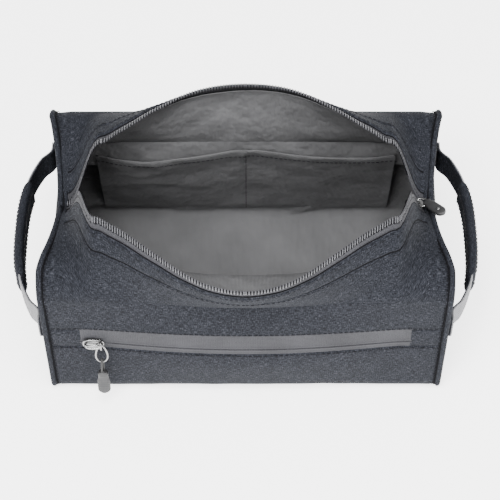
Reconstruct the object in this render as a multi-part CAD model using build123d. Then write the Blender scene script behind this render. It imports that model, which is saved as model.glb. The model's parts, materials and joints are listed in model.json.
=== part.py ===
from build123d import *
import math
import os

# Zip-top shaving kit bag, stood open. Millimetres, +Z up, origin at the middle of the
# bottom, X along the bag's width, front at -Y.
os.makedirs("parts", exist_ok=True)

# ---- driving dimensions ----
width = 260.0            # over the bound end seams
depth = 150.0            # front panel to back panel
shoulder_z = 104.0       # height of the two lines that the top flaps fold about
bottom_radius = 10.0     # rounded long bottom edges
skin = 1.5               # outer fabric with its backing
foam = 1.4               # padding between fabric and lining
lining = 0.6             # inside cloth
pocket_cloth = 0.6       # the two layers of the front pocket's bag, pressed flat
seam_bulk = 4.0          # width of the bound seam at each end
seam_outset = 1.5        # how far that seam stands out around the panels
end_x = width / 2 - seam_bulk      # where the wrapped panels stop

# ---- top flaps ----
fold_radius = 20.0       # rounded shoulders, centred on the fold lines
fold_y = depth / 2 - fold_radius
flap_reach = 51.2        # fold line to zip line
mouth_x = 116.0          # zip ends here, both sides
side_x = 92.0            # steep stretch of the lips lies beyond this
closed_angle = -20.0     # flaps dip to the zip when zipped, and at the mouth's corners
side_lift = {"front": 86.0, "back": 54.0}    # how far the lips open at side_x
mid_lift = {"front": 48.0, "back": 39.0}     # and how much more at the middle
tape_width = 8.0         # zip tape that shows
coil_width = 3.0
flap_thickness = 2.0
side_of = {"front": -1, "back": 1}

# ---- front pocket ----
pocket_half = 106.0      # half length of the zip opening
band_low, band_high = 54.0, 73.0
coil_low, coil_high = 58.0, 60.5

# ---- side handles ----
handle_z = 72.0
strap_height = 20.0
strap_thickness = 1.6
handle_bow = 18.0
grip_half = 38.0


def save(shape, name):
    if isinstance(shape, (list, ShapeList)):
        shape = Compound(children=list(shape))
    shape.label = name
    export_step(shape, f"parts/{name}.step")


def block(x0, x1, y0, y1, z0, z1):
    centre = Pos((x0 + x1) / 2, (y0 + y1) / 2, (z0 + z1) / 2)
    return centre * Box(x1 - x0, y1 - y0, z1 - z0)


def body_outline(inset, top=shoulder_z):
    """U-shaped side outline of the bag in YZ, rounded at the bottom, inset from outside."""
    half = depth / 2 - inset
    radius = max(bottom_radius - inset, 0.5)
    with BuildSketch(Plane.YZ) as sketch:
        with BuildLine():
            Polyline((-half, top), (-half, inset + radius))
            RadiusArc((-half, inset + radius), (-half + radius, inset), -radius)
            Line((-half + radius, inset), (half - radius, inset))
            RadiusArc((half - radius, inset), (half, inset + radius), -radius)
            Polyline((half, inset + radius), (half, top), (-half, top))
        make_face()
    return sketch.sketch


def shoulder(inset, side, share=1.0):
    """Point on the end outline's shoulder, share of the way from the wall to the flap."""
    turn = math.radians(180 - share * (90 - closed_angle))
    radius = fold_radius - inset
    return (-side * (-fold_y + radius * math.cos(turn)), shoulder_z + radius * math.sin(turn))


def end_outline(inset):
    """Whole end outline: the U, round shoulders, and the dip to the zip."""
    ridge = ridge_height() - inset
    half = depth / 2 - inset
    radius = bottom_radius - inset
    with BuildSketch(Plane.YZ) as sketch:
        with BuildLine():
            Line((-half + radius, inset), (half - radius, inset))
            RadiusArc((half - radius, inset), (half, inset + radius), -radius)
            Line((half, inset + radius), (half, shoulder_z))
            ThreePointArc((half, shoulder_z), shoulder(inset, 1, 0.5), shoulder(inset, 1))
            Polyline(shoulder(inset, 1), (3, ridge), (-3, ridge), shoulder(inset, -1))
            ThreePointArc(shoulder(inset, -1), shoulder(inset, -1, 0.5), (-half, shoulder_z))
            Line((-half, shoulder_z), (-half, inset + radius))
            RadiusArc((-half, inset + radius), (-half + radius, inset), -radius)
        make_face()
    return sketch.sketch


def ridge_height():
    slope = math.radians(closed_angle)
    return shoulder_z + flap_reach * math.sin(slope) + fold_radius * math.cos(slope)


def wrap_layer(inset, thickness, half_width):
    """One layer of the wrap that runs down the front, under and up the back."""
    outer = extrude(body_outline(inset), half_width, both=True)
    inner = extrude(body_outline(inset + thickness, shoulder_z + 1), half_width + 1, both=True)
    return outer - inner


# ---- outer panels ----
wrap = wrap_layer(0, skin, end_x)
far = width
corner = depth / 2 - bottom_radius - 2
top_of_wrap = shoulder_z - 1
save(wrap & block(-far, far, -corner, corner, -1, 20), "bottom_panel")
save(wrap & block(-far, far, -far, -corner, -1, band_low), "front_lower_panel")
save(wrap & block(-far, far, -far, -corner, band_high, top_of_wrap), "front_upper_panel")
save(wrap & block(-far, far, corner, far, -1, top_of_wrap), "back_panel")
band = wrap & block(-far, far, -far, -corner, band_low, band_high)
save(band & block(-far, -pocket_half, -far, 0, 0, far), "pocket_end_patch_left")
save(band & block(pocket_half, far, -far, 0, 0, far), "pocket_end_patch_right")

# ---- end panels with their bound seams ----
for side, name in ((-1, "left"), (1, "right")):
    plate = extrude(end_outline(seam_outset), 2.0)
    save(Pos(side * end_x - (2.0 if side < 0 else 0), 0, 0) * plate, f"end_panel_{name}")
    ring = extrude(offset(body_outline(0), seam_outset), seam_bulk)
    ring -= extrude(body_outline(seam_outset, shoulder_z + 5), seam_bulk)
    ring &= block(-far, far, -far, far, 0, shoulder_z)
    save(Pos(side * end_x - (seam_bulk if side < 0 else 0), 0, 0) * ring, f"end_binding_{name}")

# ---- padding, base board and lining ----
foam_layer = wrap_layer(skin + pocket_cloth, foam, end_x - 4)
save(foam_layer & block(-far, far, -far, -corner, -1, top_of_wrap - 4), "front_padding")
save(foam_layer & block(-far, far, corner, far, -1, top_of_wrap - 4), "back_padding")
save(foam_layer & block(-far, far, -corner, corner, -1, 20), "base_board")
lining_inset = skin + pocket_cloth + foam
cloth = wrap_layer(lining_inset, lining, end_x - 3)
save(cloth & block(-far, far, -far, -corner, -1, top_of_wrap - 2), "front_lining")
save(cloth & block(-far, far, corner, far, -1, top_of_wrap - 2), "back_lining")
save(cloth & block(-far, far, -corner, corner, -1, 20), "bottom_lining")
for side, name in ((-1, "left"), (1, "right")):
    sheet = extrude(body_outline(lining_inset + lining + 0.5, shoulder_z - 2), lining)
    save(Pos(side * (end_x - 4) - lining / 2, 0, 0) * sheet, f"end_lining_{name}")

# ---- slip pocket inside the back wall, stitched into two halves ----
wall_y = depth / 2 - lining_inset - lining
pocket_top, pocket_foot, pocket_gap, pocket_x = 90.0, 13.0, 9.0, 100.0
with BuildSketch(Plane.YZ) as slip:
    Polygon((wall_y - 1, pocket_foot), (wall_y - pocket_gap, pocket_top),
            (wall_y - pocket_gap - 0.8, pocket_top), (wall_y - 1.8, pocket_foot), align=None)
save(extrude(slip.sketch, pocket_x, both=True), "slip_pocket")
with BuildSketch(Plane.YZ) as seam:
    Polygon((wall_y - 1, pocket_foot), (wall_y - pocket_gap, pocket_top), (wall_y, pocket_top),
            (wall_y, pocket_foot), align=None)
save(extrude(seam.sketch, 0.6, both=True), "slip_pocket_seam")
hem = block(-pocket_x, pocket_x, wall_y - pocket_gap - 1.2, wall_y - pocket_gap + 0.4,
            pocket_top, pocket_top + 7)
save(hem, "slip_pocket_hem")

# ---- front pocket: zip and the bag behind it ----
front_y = -depth / 2
tape_y0, tape_y1 = front_y + 0.5, front_y + 1.3
save(block(-pocket_half, pocket_half, tape_y0, tape_y1, coil_high, band_high), "pocket_tape_upper")
save(block(-pocket_half, pocket_half, tape_y0, tape_y1, band_low, coil_low), "pocket_tape_lower")
coil_mid = (coil_low + coil_high) / 2
save(block(-pocket_half + 4, pocket_half - 4, front_y + 0.2, front_y + 1.4, coil_low, coil_high),
     "pocket_coil")
save(block(-pocket_half + 2, pocket_half - 2, front_y + skin, front_y + skin + pocket_cloth,
           bottom_radius + 6, band_high + 8), "pocket_bag")


# ---- top flaps, zip tapes and coils ----
def smooth(t):
    t = min(max(t, 0.0), 1.0)
    return t * t * (3 - 2 * t)


def lip_angle(face, x):
    """How far the lip stands open at x, in degrees up from level."""
    steep = smooth((mouth_x - abs(x)) / (mouth_x - side_x))
    rest = smooth((side_x - abs(x)) / side_x)
    return closed_angle + side_lift[face] * steep + mid_lift[face] * rest


def flap_point(face, x, along, radius, turn=None):
    """Point at distance along the flap, or at angle turn round its shoulder."""
    angle = math.radians(lip_angle(face, x))
    if turn is None:
        y = fold_y - along * math.cos(angle) + radius * math.sin(angle)
        z = shoulder_z + along * math.sin(angle) + radius * math.cos(angle)
    else:
        y = fold_y - radius * math.cos(math.radians(turn))
        z = shoulder_z + radius * math.sin(math.radians(turn))
    return Vector(x, side_of[face] * y, z)


def flap_section(face, x, near, far_edge, low, high):
    """Strip of the flap at x: near and far_edge along it, low and high across it."""
    corners = [flap_point(face, x, near, low), flap_point(face, x, far_edge, low),
               flap_point(face, x, far_edge, high), flap_point(face, x, near, high)]
    return make_face(Polyline(*corners, close=True).edges())


def shoulder_section(face, x, far_edge, low, high):
    """The same strip with the rounded shoulder that leads to it from the wall."""
    last = 90 + lip_angle(face, x)
    turns = [179.5 + (last - 179.5) * i / shoulder_steps for i in range(shoulder_steps + 1)]
    outer = [flap_point(face, x, 0, high, turn) for turn in turns]
    inner = [flap_point(face, x, 0, low, turn) for turn in reversed(turns)]
    corners = outer + [flap_point(face, x, far_edge, high), flap_point(face, x, far_edge, low)]
    return make_face(Polyline(*(corners + inner), close=True).edges())


def flap_start(face, x):
    """The middle cloth starts further up where it leans out, clear of the panel."""
    return -6 + 14 * min(max((lip_angle(face, x) - 68) / 40, 0), 1)


def strip(face, x0, x1, near, far_edge, low, high, steps):
    stations = [x0 + (x1 - x0) * i / steps for i in range(steps + 1)]
    if near == "shoulder":
        sections = [shoulder_section(face, x, far_edge, low, high) for x in stations]
    else:
        sections = [flap_section(face, x, flap_start(face, x) if near == "wall" else near,
                                 far_edge, low, high) for x in stations]
    return loft(sections, ruled=True)


shoulder_steps = 5
steep_steps, slider_steps = 8, 4    # the right coil and tape stop short, inside the slider
coil_ends_x = mouth_x - (mouth_x - side_x) * slider_steps / steep_steps
stretches = {"left": (-mouth_x, -side_x, steep_steps), "middle": (-side_x, side_x, 12),
             "right": (side_x, mouth_x, steep_steps)}
cloth_edge = flap_reach - coil_width - tape_width
tape_edge = flap_reach - coil_width
for face in ("front", "back"):
    for place_name, (x0, x1, steps) in stretches.items():
        surface = fold_radius
        near = "wall" if place_name == "middle" else "shoulder"
        save(strip(face, x0, x1, near, cloth_edge, surface - flap_thickness, surface, steps),
             f"{face}_flap_{place_name}")
        if place_name == "right":
            x1, steps = coil_ends_x, steep_steps - slider_steps
        save(strip(face, x0, x1, cloth_edge, tape_edge, surface - 1.6, surface - 0.6, steps),
             f"{face}_zip_tape_{place_name}")
        save(strip(face, x0, x1, tape_edge, flap_reach, surface - 2.2, surface - 0.2, steps),
             f"{face}_zip_coil_{place_name}")

# ---- fixed ends of the top, beyond the zip ----
for side, name in ((-1, "left"), (1, "right")):
    halves = []
    for face in ("front", "back"):
        near_x, far_x = sorted((side * mouth_x, side * end_x))
        halves.append(strip(face, near_x, far_x, "shoulder", flap_reach + 0.5,
                            fold_radius - flap_thickness, fold_radius, 1))
    save(halves[0] + halves[1], f"top_end_{name}")

# ---- main slider with its pull ----
wire = 1.2
zip_z = ridge_height() - 1.0
slider_x = mouth_x - 7
eye_z = zip_z + 5.2
plate = extrude(RectangleRounded(12, 9, 3), 1.6)
post = block(slider_x + 2.5, slider_x + 5, -1, 1, zip_z - 3.5, zip_z + 2.5)
bridge = block(slider_x - 3.6, slider_x + 3.6, -1.2, 1.2, zip_z + 3.7, zip_z + 8)
bridge -= block(slider_x - 2.2, slider_x + 2.2, -2, 2, zip_z + 3.8, zip_z + 6.6)
save(Pos(slider_x, 0, zip_z + 2.2) * plate + Pos(slider_x, 0, zip_z - 4.4) * plate + post + bridge,
     "main_slider")


def wire_loop(length, loop_width):
    """Closed wire ring lying in XY, its near end's wire centred on the origin."""
    ring = Pos(length / 2, 0, 0) * SlotOverall(length + wire, loop_width)
    hole = Pos(length / 2, 0, 0) * SlotOverall(length - wire, loop_width - 2 * wire)
    return Pos(0, 0, -wire / 2) * extrude(ring - hole, wire)


def pull_tab(length, tab_width, thickness):
    """Rubber tab from the origin along +X, rounded at its far end."""
    outline = Pos(length / 2, 0, 0) * RectangleRounded(length, tab_width, tab_width * 0.45)
    body = Pos(0, 0, -thickness / 2) * extrude(outline, thickness)
    return fillet(body.edges().group_by(Axis.Z)[-1] + body.edges().group_by(Axis.Z)[0], 0.6)


loop_turn, tab_turn, pull_rise = -20, -50, 20
loop_length = 9.0
at_eye = Pos(slider_x, 0, eye_z) * Rot(0, 0, loop_turn) * Rot(0, -pull_rise, 0)
save(at_eye * wire_loop(loop_length, 7.6), "main_pull_loop")
at_tab = at_eye * Pos(loop_length, 0, 0) * Rot(0, 0, tab_turn - loop_turn) * Pos(-1.5, 0, 0)
tab = pull_tab(17, 7, 3.2)
tab -= (Pos(1.5, 0, 0) * Rot(0, 0, loop_turn - tab_turn) * Pos(-loop_length, 0, 0)
        * wire_loop(loop_length, 7.6))
rivet_seat = Pos(12, 0, -5) * Cylinder(1.3, 20)
save(at_tab * (tab - rivet_seat), "main_pull_tab")
save(at_tab * Pos(12, 0, 0) * Cylinder(1.3, 3.8), "main_pull_rivet")

# ---- pocket slider with its hanging pull ----
pocket_slider_x = -98.0
loop_x = pocket_slider_x + 5
loop_y = front_y - 3.0
loop_z = coil_mid + 1.0
lean = -12.0
face_plate = block(pocket_slider_x - 7, pocket_slider_x + 7, front_y - 1.6, front_y - 0.3,
                   coil_mid - 4.5, coil_mid + 4.5)
face_plate = fillet(face_plate.edges().filter_by(Axis.Y), 3)
flanges = block(pocket_slider_x - 5, pocket_slider_x + 5, front_y - 0.3, front_y + 0.3,
                coil_high, coil_high + 1.2)
eye = block(loop_x - 1.1, loop_x + 1.1, front_y - 5.2, front_y - 1.6, loop_z - 4.4, loop_z + 3)
eye -= block(loop_x - 2, loop_x + 2, loop_y - 1.1, loop_y + 1.1, loop_z - 2.6, loop_z + 1.2)
save(face_plate + flanges + eye, "pocket_slider")

hang = Pos(loop_x, loop_y, loop_z) * Rot(lean, 0, 0) * Rot(0, 90, 0)
pocket_loop_length = 15.0
save(hang * Rot(90, 0, 0) * wire_loop(pocket_loop_length, 9.0), "pocket_pull_loop")
cord_top, cord_foot = pocket_loop_length - 2.2, pocket_loop_length + 9.0
cord_gap = 1.6
strands = [hang * Pos((cord_top + cord_foot) / 2, side * cord_gap, 0)
           * Box(cord_foot - cord_top, 1.3, 1.3) for side in (-1, 1)]
bight = hang * Pos(cord_top - 0.65, 0, 0) * Box(1.3, 2 * cord_gap + 1.3, 1.3)
save([strands[0] + strands[1] + bight], "pocket_pull_cord")
save(hang * Pos(cord_foot + 1.5, 0, 0) * Box(3, 4.6, 6.4), "pocket_pull_collar")
save(hang * Pos(cord_foot + 3, 0, 0) * Rot(90, 0, 0) * pull_tab(17, 8.0, 3.4), "pocket_pull_tab")

# ---- side handles: webbing strap in a stitched grip ----
out_x = width / 2 + 0.9
strap_end = depth / 2 - 3
with BuildLine() as route:
    FilletPolyline((out_x, -strap_end), (out_x + 1, -strap_end + 9), (out_x + handle_bow, -37),
                   (out_x + handle_bow, 37), (out_x + 1, strap_end - 9), (out_x, strap_end),
                   radius=14)
low = handle_z - strap_height / 2
strap = extrude(Pos(0, 0, low) * trace(route.line, strap_thickness), strap_height)
grip_x = out_x + handle_bow
grip = block(grip_x - 3.4, grip_x + 3.4, -grip_half, grip_half, low - 1.5, low + strap_height + 1.5)
grip = fillet(grip.edges().filter_by(Axis.Y), 2.2) - strap
for name, keep in (("right", None), ("left", Plane.YZ)):
    for piece, kind in ((strap, "strap"), (grip, "grip")):
        save(mirror(piece, keep) if keep else piece, f"handle_{kind}_{name}")
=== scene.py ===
import json
from math import copysign, cos, exp, pi, radians, sin, sqrt, tan
import bpy
import bmesh
from mathutils import Matrix, Vector, noise


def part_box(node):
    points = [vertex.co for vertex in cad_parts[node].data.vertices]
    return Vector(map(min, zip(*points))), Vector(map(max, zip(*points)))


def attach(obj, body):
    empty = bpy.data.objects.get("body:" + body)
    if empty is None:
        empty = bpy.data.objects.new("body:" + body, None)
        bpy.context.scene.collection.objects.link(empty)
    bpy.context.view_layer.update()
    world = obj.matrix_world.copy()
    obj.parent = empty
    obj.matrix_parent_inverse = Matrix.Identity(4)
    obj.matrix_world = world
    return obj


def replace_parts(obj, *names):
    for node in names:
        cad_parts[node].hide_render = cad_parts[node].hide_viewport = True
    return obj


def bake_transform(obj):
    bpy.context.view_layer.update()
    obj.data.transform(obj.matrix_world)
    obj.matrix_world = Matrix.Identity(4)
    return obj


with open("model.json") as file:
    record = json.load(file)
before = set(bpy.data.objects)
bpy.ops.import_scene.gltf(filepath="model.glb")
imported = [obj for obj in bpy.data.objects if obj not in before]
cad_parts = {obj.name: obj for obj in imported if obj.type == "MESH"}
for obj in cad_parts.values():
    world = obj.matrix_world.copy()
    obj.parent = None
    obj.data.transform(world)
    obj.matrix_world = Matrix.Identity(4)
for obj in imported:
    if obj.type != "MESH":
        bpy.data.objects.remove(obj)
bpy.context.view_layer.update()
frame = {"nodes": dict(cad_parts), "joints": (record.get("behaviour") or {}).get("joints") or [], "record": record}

# ---- sizes read from the frame, in metres ----
joints = {j["name"]: j for j in frame["joints"]}
fold_y, fold_z = abs(joints["back_side_fold"]["pos_m"][1]), joints["back_side_fold"]["pos_m"][2]
LEFT_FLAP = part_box("front_flap_left")
MOUTH_X, SIDE_X = -LEFT_FLAP[0][0], -LEFT_FLAP[1][0]
LIFT = {face: [joints[f"{face}_{part}_fold"]["range_deg"][1] for part in ("side", "middle")]
        for face in ("front", "back")}
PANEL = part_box("front_upper_panel")
FRONT_Y = PANEL[0][1]
BACK_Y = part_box("back_panel")[1][1]
END_X = PANEL[1][0]
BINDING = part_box("end_binding_right")
BAND_LOW, BAND_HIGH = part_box("front_lower_panel")[1][2], PANEL[0][2]
COIL_LOW, COIL_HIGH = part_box("pocket_coil")[0][2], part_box("pocket_coil")[1][2]
POCKET_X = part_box("pocket_tape_upper")[1][0]
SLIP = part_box("slip_pocket")
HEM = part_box("slip_pocket_hem")
CORNER = 0.010                       # rounded long bottom edges
FRONT_SWELL, BACK_SWELL = 0.0065, 0.0016       # how far the padded walls bow out
SWELL_HALF = 0.100                   # half the width that bows; flat where the pocket slider rests
LINING_GAP = 0.0042                  # wall surface to lining, low down
LEDGE_LOW, LEDGE_TALL = 0.068, 0.016           # where the lining moves in to the fold line
FOLD_R = BACK_Y - fold_y             # flap surface to fold line, also the shoulder's radius
CLOSED = radians(-20)           # slope of the zipped flaps
REACH = 0.0512                       # fold line to the teeth's tips
MM = 0.001
SIDE = {"front": -1, "back": 1}
CLOTH_THICK, LINING_THICK = 1.1 * MM, 0.5 * MM
SEWN = (2.3 * MM, 0.9 * MM, 0.22 * MM)         # stitch length, gap and thread radius
LINING_SEWN = (2.2 * MM, 0.9 * MM, 0.2 * MM)
TEXTURE_SHIFT = {"front": 0.11, "back": 0.31}  # keeps the two lips from sharing one pattern


# ---- materials ----
class Shader:
    """Small helper that wires one Principled material."""

    def __init__(self, name, rough, **fixed):
        self.mat = bpy.data.materials.new(name)
        self.mat.use_nodes = True
        self.tree = self.mat.node_tree
        self.bsdf = self.tree.nodes["Principled BSDF"]
        self.bsdf.inputs["Roughness"].default_value = rough
        for key, value in fixed.items():
            self.bsdf.inputs[key.replace("_", " ")].default_value = value

    def node(self, kind, inputs=None, **props):
        made = self.tree.nodes.new(kind)
        for key, value in props.items():
            setattr(made, key, value)
        for key, value in (inputs or {}).items():
            if hasattr(value, "is_output"):
                self.tree.links.new(value, made.inputs[key])
            else:
                made.inputs[key].default_value = value
        return made

    def coords(self, scale, kind="UV"):
        source = self.node("ShaderNodeTexCoord").outputs[kind]
        return self.node("ShaderNodeMapping", {"Vector": source, "Scale": scale}).outputs[0]

    def noise(self, scale, detail=2.0, rough=0.5, kind="UV"):
        where = self.coords(scale, kind)
        return self.node("ShaderNodeTexNoise", {"Vector": where, "Scale": 1.0, "Detail": detail,
                                                "Roughness": rough}).outputs["Fac"]

    def wave(self, per_metre, axis):
        where = self.coords((1, 1, 1))
        return self.node("ShaderNodeTexWave", {"Vector": where, "Scale": per_metre / 20 * pi,
                                               "Distortion": 0.4, "Detail": 1.0,
                                               "Detail Scale": 2.0},
                         bands_direction=axis).outputs["Fac"]

    def math(self, op, a, b):
        return self.node("ShaderNodeMath", {0: a, 1: b}, operation=op).outputs[0]

    def ramp(self, fac, *stops):
        made = self.node("ShaderNodeValToRGB", {"Fac": fac})
        ramp = made.color_ramp
        while len(ramp.elements) < len(stops):
            ramp.elements.new(0.5)
        for element, (place, colour) in zip(ramp.elements, stops):
            element.position = place
            element.color = (*colour, 1)
        return made.outputs["Color"]

    def colour(self, socket):
        self.tree.links.new(socket, self.bsdf.inputs["Base Color"])

    def rough(self, socket):
        self.tree.links.new(socket, self.bsdf.inputs["Roughness"])

    def bump(self, height, distance, strength=1.0):
        made = self.node("ShaderNodeBump", {"Height": height, "Distance": distance,
                                            "Strength": strength})
        self.tree.links.new(made.outputs[0], self.bsdf.inputs["Normal"])


def grey(level, warm=0.0, blue=0.0):
    return (level * (1 + warm), level, level * (1 + blue))


def heather_material():
    """Charcoal melange canvas: light and dark slubs along both threads over a plain weave."""
    s = Shader("heather_canvas", 0.9, Specular_IOR_Level=0.12)
    across = s.noise((330, 2100, 1200), 2.0, 0.6)
    along = s.noise((2100, 400, 600), 2.0, 0.6)
    broad = s.noise((90, 90, 90), 3.0, 0.6)
    fine = s.noise((2200, 2200, 2200), 1.0)
    threads = s.math("ADD", s.math("MULTIPLY", across, 0.44), s.math("MULTIPLY", along, 0.36))
    mix = s.math("ADD", threads, s.math("MULTIPLY", fine, 0.12))
    mix = s.math("ADD", mix, s.math("MULTIPLY", broad, 0.08))
    s.colour(s.ramp(mix, (0.38, grey(0.0035, -0.1, 0.34)), (0.47, grey(0.009, -0.1, 0.34)),
                    (0.54, grey(0.019, -0.08, 0.30)), (0.64, grey(0.058, -0.05, 0.20))))
    weave = s.math("ADD", s.wave(1400, "X"), s.wave(1400, "Y"))
    height = s.math("ADD", s.math("MULTIPLY", weave, 0.35), mix)
    s.rough(s.ramp(mix, (0.3, grey(0.95)), (0.7, grey(0.78))))
    s.bump(height, 0.00035, 0.55)
    return s.mat


def lining_material():
    """Smooth grey polyester: very fine weave, faint mottling, soft creases."""
    level = 0.10
    s = Shader("lining_cloth", 0.62, Specular_IOR_Level=0.3)
    mottled = s.noise((26, 26, 26), 3.0, 0.55, "Object")
    fine = s.noise((2600, 2600, 1), 1.0)
    mix = s.math("ADD", s.math("MULTIPLY", mottled, 0.6), s.math("MULTIPLY", fine, 0.4))
    s.colour(s.ramp(mix, (0.36, grey(level * 0.82, 0, 0.03)), (0.64, grey(level * 1.15, 0, 0.03))))
    creases = s.noise((34, 16, 34), 3.0, 0.55, "Object")
    weave = s.math("ADD", s.wave(2400, "X"), s.wave(2400, "Y"))
    s.bump(s.math("ADD", s.math("MULTIPLY", weave, 0.02), creases), 0.009, 0.8)
    s.rough(s.ramp(mix, (0.3, grey(0.7)), (0.7, grey(0.52))))
    return s.mat


def tape_material():
    """Woven zip tape with fine ribs along its length."""
    s = Shader("zip_tape_weave", 0.75, Specular_IOR_Level=0.25)
    fine = s.noise((900, 2500, 1), 1.5, 0.6)
    broad = s.noise((40, 40, 40), 2.0, 0.5)
    mix = s.math("ADD", s.math("MULTIPLY", fine, 0.6), s.math("MULTIPLY", broad, 0.4))
    s.colour(s.ramp(mix, (0.34, grey(0.021, 0, 0.14)), (0.66, grey(0.045, 0, 0.14))))
    ribs = s.math("ADD", s.wave(1500, "Y"), s.math("MULTIPLY", s.wave(1800, "X"), 0.6))
    s.bump(ribs, 0.00025, 0.6)
    return s.mat


def sheen_webbing_material():
    """Pale webbing: coarse ribs across a speckled grey that is partly the webbing's own colour and partly painted
    sheen.
    """
    s = Shader("webbing_with_painted_sheen", 0.7, Specular_IOR_Level=0.3)
    fine = s.noise((1200, 2200, 1), 1.5, 0.6)
    # pale grey: partly the webbing's own colour, partly painted sheen of its lit outer face
    s.colour(s.ramp(fine, (0.34, grey(0.13, 0, 0.05)), (0.66, grey(0.24, 0, 0.04))))
    ribs = s.math("ADD", s.wave(700, "X"), s.wave(500, "Y"))
    s.bump(ribs, 0.0004, 0.7)
    return s.mat


def mottled_material(name, low, high, rough, scale=400, bump=0.0001, **fixed):
    """Moulded or woven small part: slight colour and roughness change over a fine grain."""
    s = Shader(name, rough, **fixed)
    grain = s.noise((scale,) * 3, 3.0, 0.6, "Object")
    wear = s.noise((scale / 8,) * 3, 2.0, 0.5, "Object")
    mix = s.math("ADD", s.math("MULTIPLY", grain, 0.5), s.math("MULTIPLY", wear, 0.5))
    s.colour(s.ramp(mix, (0.35, low), (0.65, high)))
    s.rough(s.ramp(wear, (0.3, grey(rough * 0.85)), (0.7, grey(min(rough * 1.2, 1)))))
    s.bump(grain, bump, 0.5)
    return s.mat


HEATHER = heather_material()
LINING = lining_material()
TAPE = tape_material()
SHEEN_WEBBING = sheen_webbing_material()
TEETH = mottled_material("nylon_teeth", grey(0.055, 0, 0.10), grey(0.10, 0, 0.10), 0.4)
THREAD = mottled_material("stitch_thread", grey(0.006, 0, 0.2), grey(0.014, 0, 0.2), 0.8, 900,
                          Specular_IOR_Level=0.1)
# Near-black strips in the seam grooves, the facing folds, behind the zip teeth and along the end seams: painted
# shade in those grooves and gaps.
GROOVE_SHADE = mottled_material("painted_groove_shade", grey(0.003, 0, 0.2), grey(0.007, 0, 0.2), 0.9, 900,
                        Specular_IOR_Level=0.05)
METAL = mottled_material("plated_metal", grey(0.20), grey(0.30), 0.27, 300, 0.00003, Metallic=1.0)
RUBBER = mottled_material("soft_rubber", grey(0.010, 0, 0.06), grey(0.022, 0, 0.06), 0.5, 900)
GREY_RUBBER = mottled_material("grey_rubber", grey(0.014, 0, 0.08), grey(0.030, 0, 0.08), 0.5, 900)
CORD = mottled_material("black_cord", grey(0.012), grey(0.03), 0.7, 1500, 0.0002)
FOAM = mottled_material("foam_sheet", grey(0.35), grey(0.5), 0.9)

SLOT_MATERIALS = {"outer_fabric": HEATHER, "lining_cloth": LINING, "zip_tape": TAPE,
                  "zip_coil": TEETH, "zip_metal": METAL, "pull_rubber": RUBBER,
                  "pull_cord": CORD, "foam": FOAM, "board": FOAM, "webbing": SHEEN_WEBBING}
for sub in frame["record"]["subparts"]:
    node = frame["nodes"][sub["node"]]
    node.data.materials.clear()
    node.data.materials.append(SLOT_MATERIALS[sub["material_slot"]])


# ---- mesh helpers ----
def link_mesh(name, mesh, material):
    """Smooth-shaded object of one material, put into the scene."""
    mesh.materials.clear()
    mesh.materials.append(material)
    mesh.polygons.foreach_set("use_smooth", [True] * len(mesh.polygons))
    piece = bpy.data.objects.new(name, mesh)
    bpy.context.collection.objects.link(piece)
    return piece


def add_mesh(name, verts, faces, material, uvs=None):
    mesh = bpy.data.meshes.new(name)
    mesh.from_pydata(verts, [], faces)
    if uvs:
        layer = mesh.uv_layers.new(name="UVMap")
        for loop in mesh.loops:
            layer.data[loop.index].uv = uvs[loop.vertex_index]
    mesh.update()
    return link_mesh(name, mesh, material)


def cloth(name, point, us, vs, thickness, material, length=lambda u, v: (u, v)):
    """Closed thin sheet: point(u, v) on its outside, given thickness inwards (away from normal)."""
    rows, cols = len(vs), len(us)
    top = [[Vector(point(u, v)) for u in us] for v in vs]
    verts, uvs, faces = [], [], []
    for under in (False, True):
        for j in range(rows):
            for i in range(cols):
                du = top[j][min(i + 1, cols - 1)] - top[j][max(i - 1, 0)]
                dv = top[min(j + 1, rows - 1)][i] - top[max(j - 1, 0)][i]
                normal = du.cross(dv).normalized()
                verts.append(top[j][i] - normal * (thickness if under else 0))
                uvs.append(length(us[i], vs[j]))
    size = rows * cols

    def at(j, i, under):
        return j * cols + i + (size if under else 0)

    for j in range(rows - 1):
        for i in range(cols - 1):
            quad = [at(j, i, 0), at(j, i + 1, 0), at(j + 1, i + 1, 0), at(j + 1, i, 0)]
            faces.append(quad)
            faces.append([k + size for k in reversed(quad)])
    rim = ([(0, i) for i in range(cols)] + [(j, cols - 1) for j in range(1, rows)]
           + [(rows - 1, i) for i in range(cols - 2, -1, -1)]
           + [(j, 0) for j in range(rows - 2, 0, -1)])
    for k, (j, i) in enumerate(rim):
        j2, i2 = rim[(k + 1) % len(rim)]
        faces.append([at(j, i, 1), at(j2, i2, 1), at(j2, i2, 0), at(j, i, 0)])
    piece = add_mesh(name, verts, faces, material, uvs)
    rims = {(min(a, b) % size, max(a, b) % size) for a, b in zip(
        [j * cols + i for j, i in rim], [j * cols + i for j, i in rim[1:] + rim[:1]])}
    sharp = piece.data.attributes.new("sharp_edge", "BOOLEAN", "EDGE")
    for edge in piece.data.edges:
        a, b = edge.vertices[0] % size, edge.vertices[1] % size
        sharp.data[edge.index].value = a != b and ((a, b) in rims or (b, a) in rims)
    return piece


def spread(a, b, count):
    return [a + (b - a) * i / (count - 1) for i in range(count)]


def smooth(t):
    t = min(max(t, 0.0), 1.0)
    return t * t * (3 - 2 * t)


def half_wave(t):
    """Rises from 0 to 1 and falls back to 0 as t goes from 0 to 1."""
    return sin(pi * min(max(t, 0), 1))


def ripple(x, y, z=0.0, scale=30.0):
    return noise.noise(Vector((x * scale, y * scale, z * scale)))


def crease(x, y):
    """Sharp-crested slanting folds, as in loose lining cloth."""
    across = noise.noise(Vector((x * 13 + y * 9, y * 20 - x * 8, 3.1)))
    return max(0.0, 1 - 3.2 * abs(across)) ** 2 * (0.4 + noise.noise(Vector((x * 9, y * 9, 8.2))))


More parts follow.
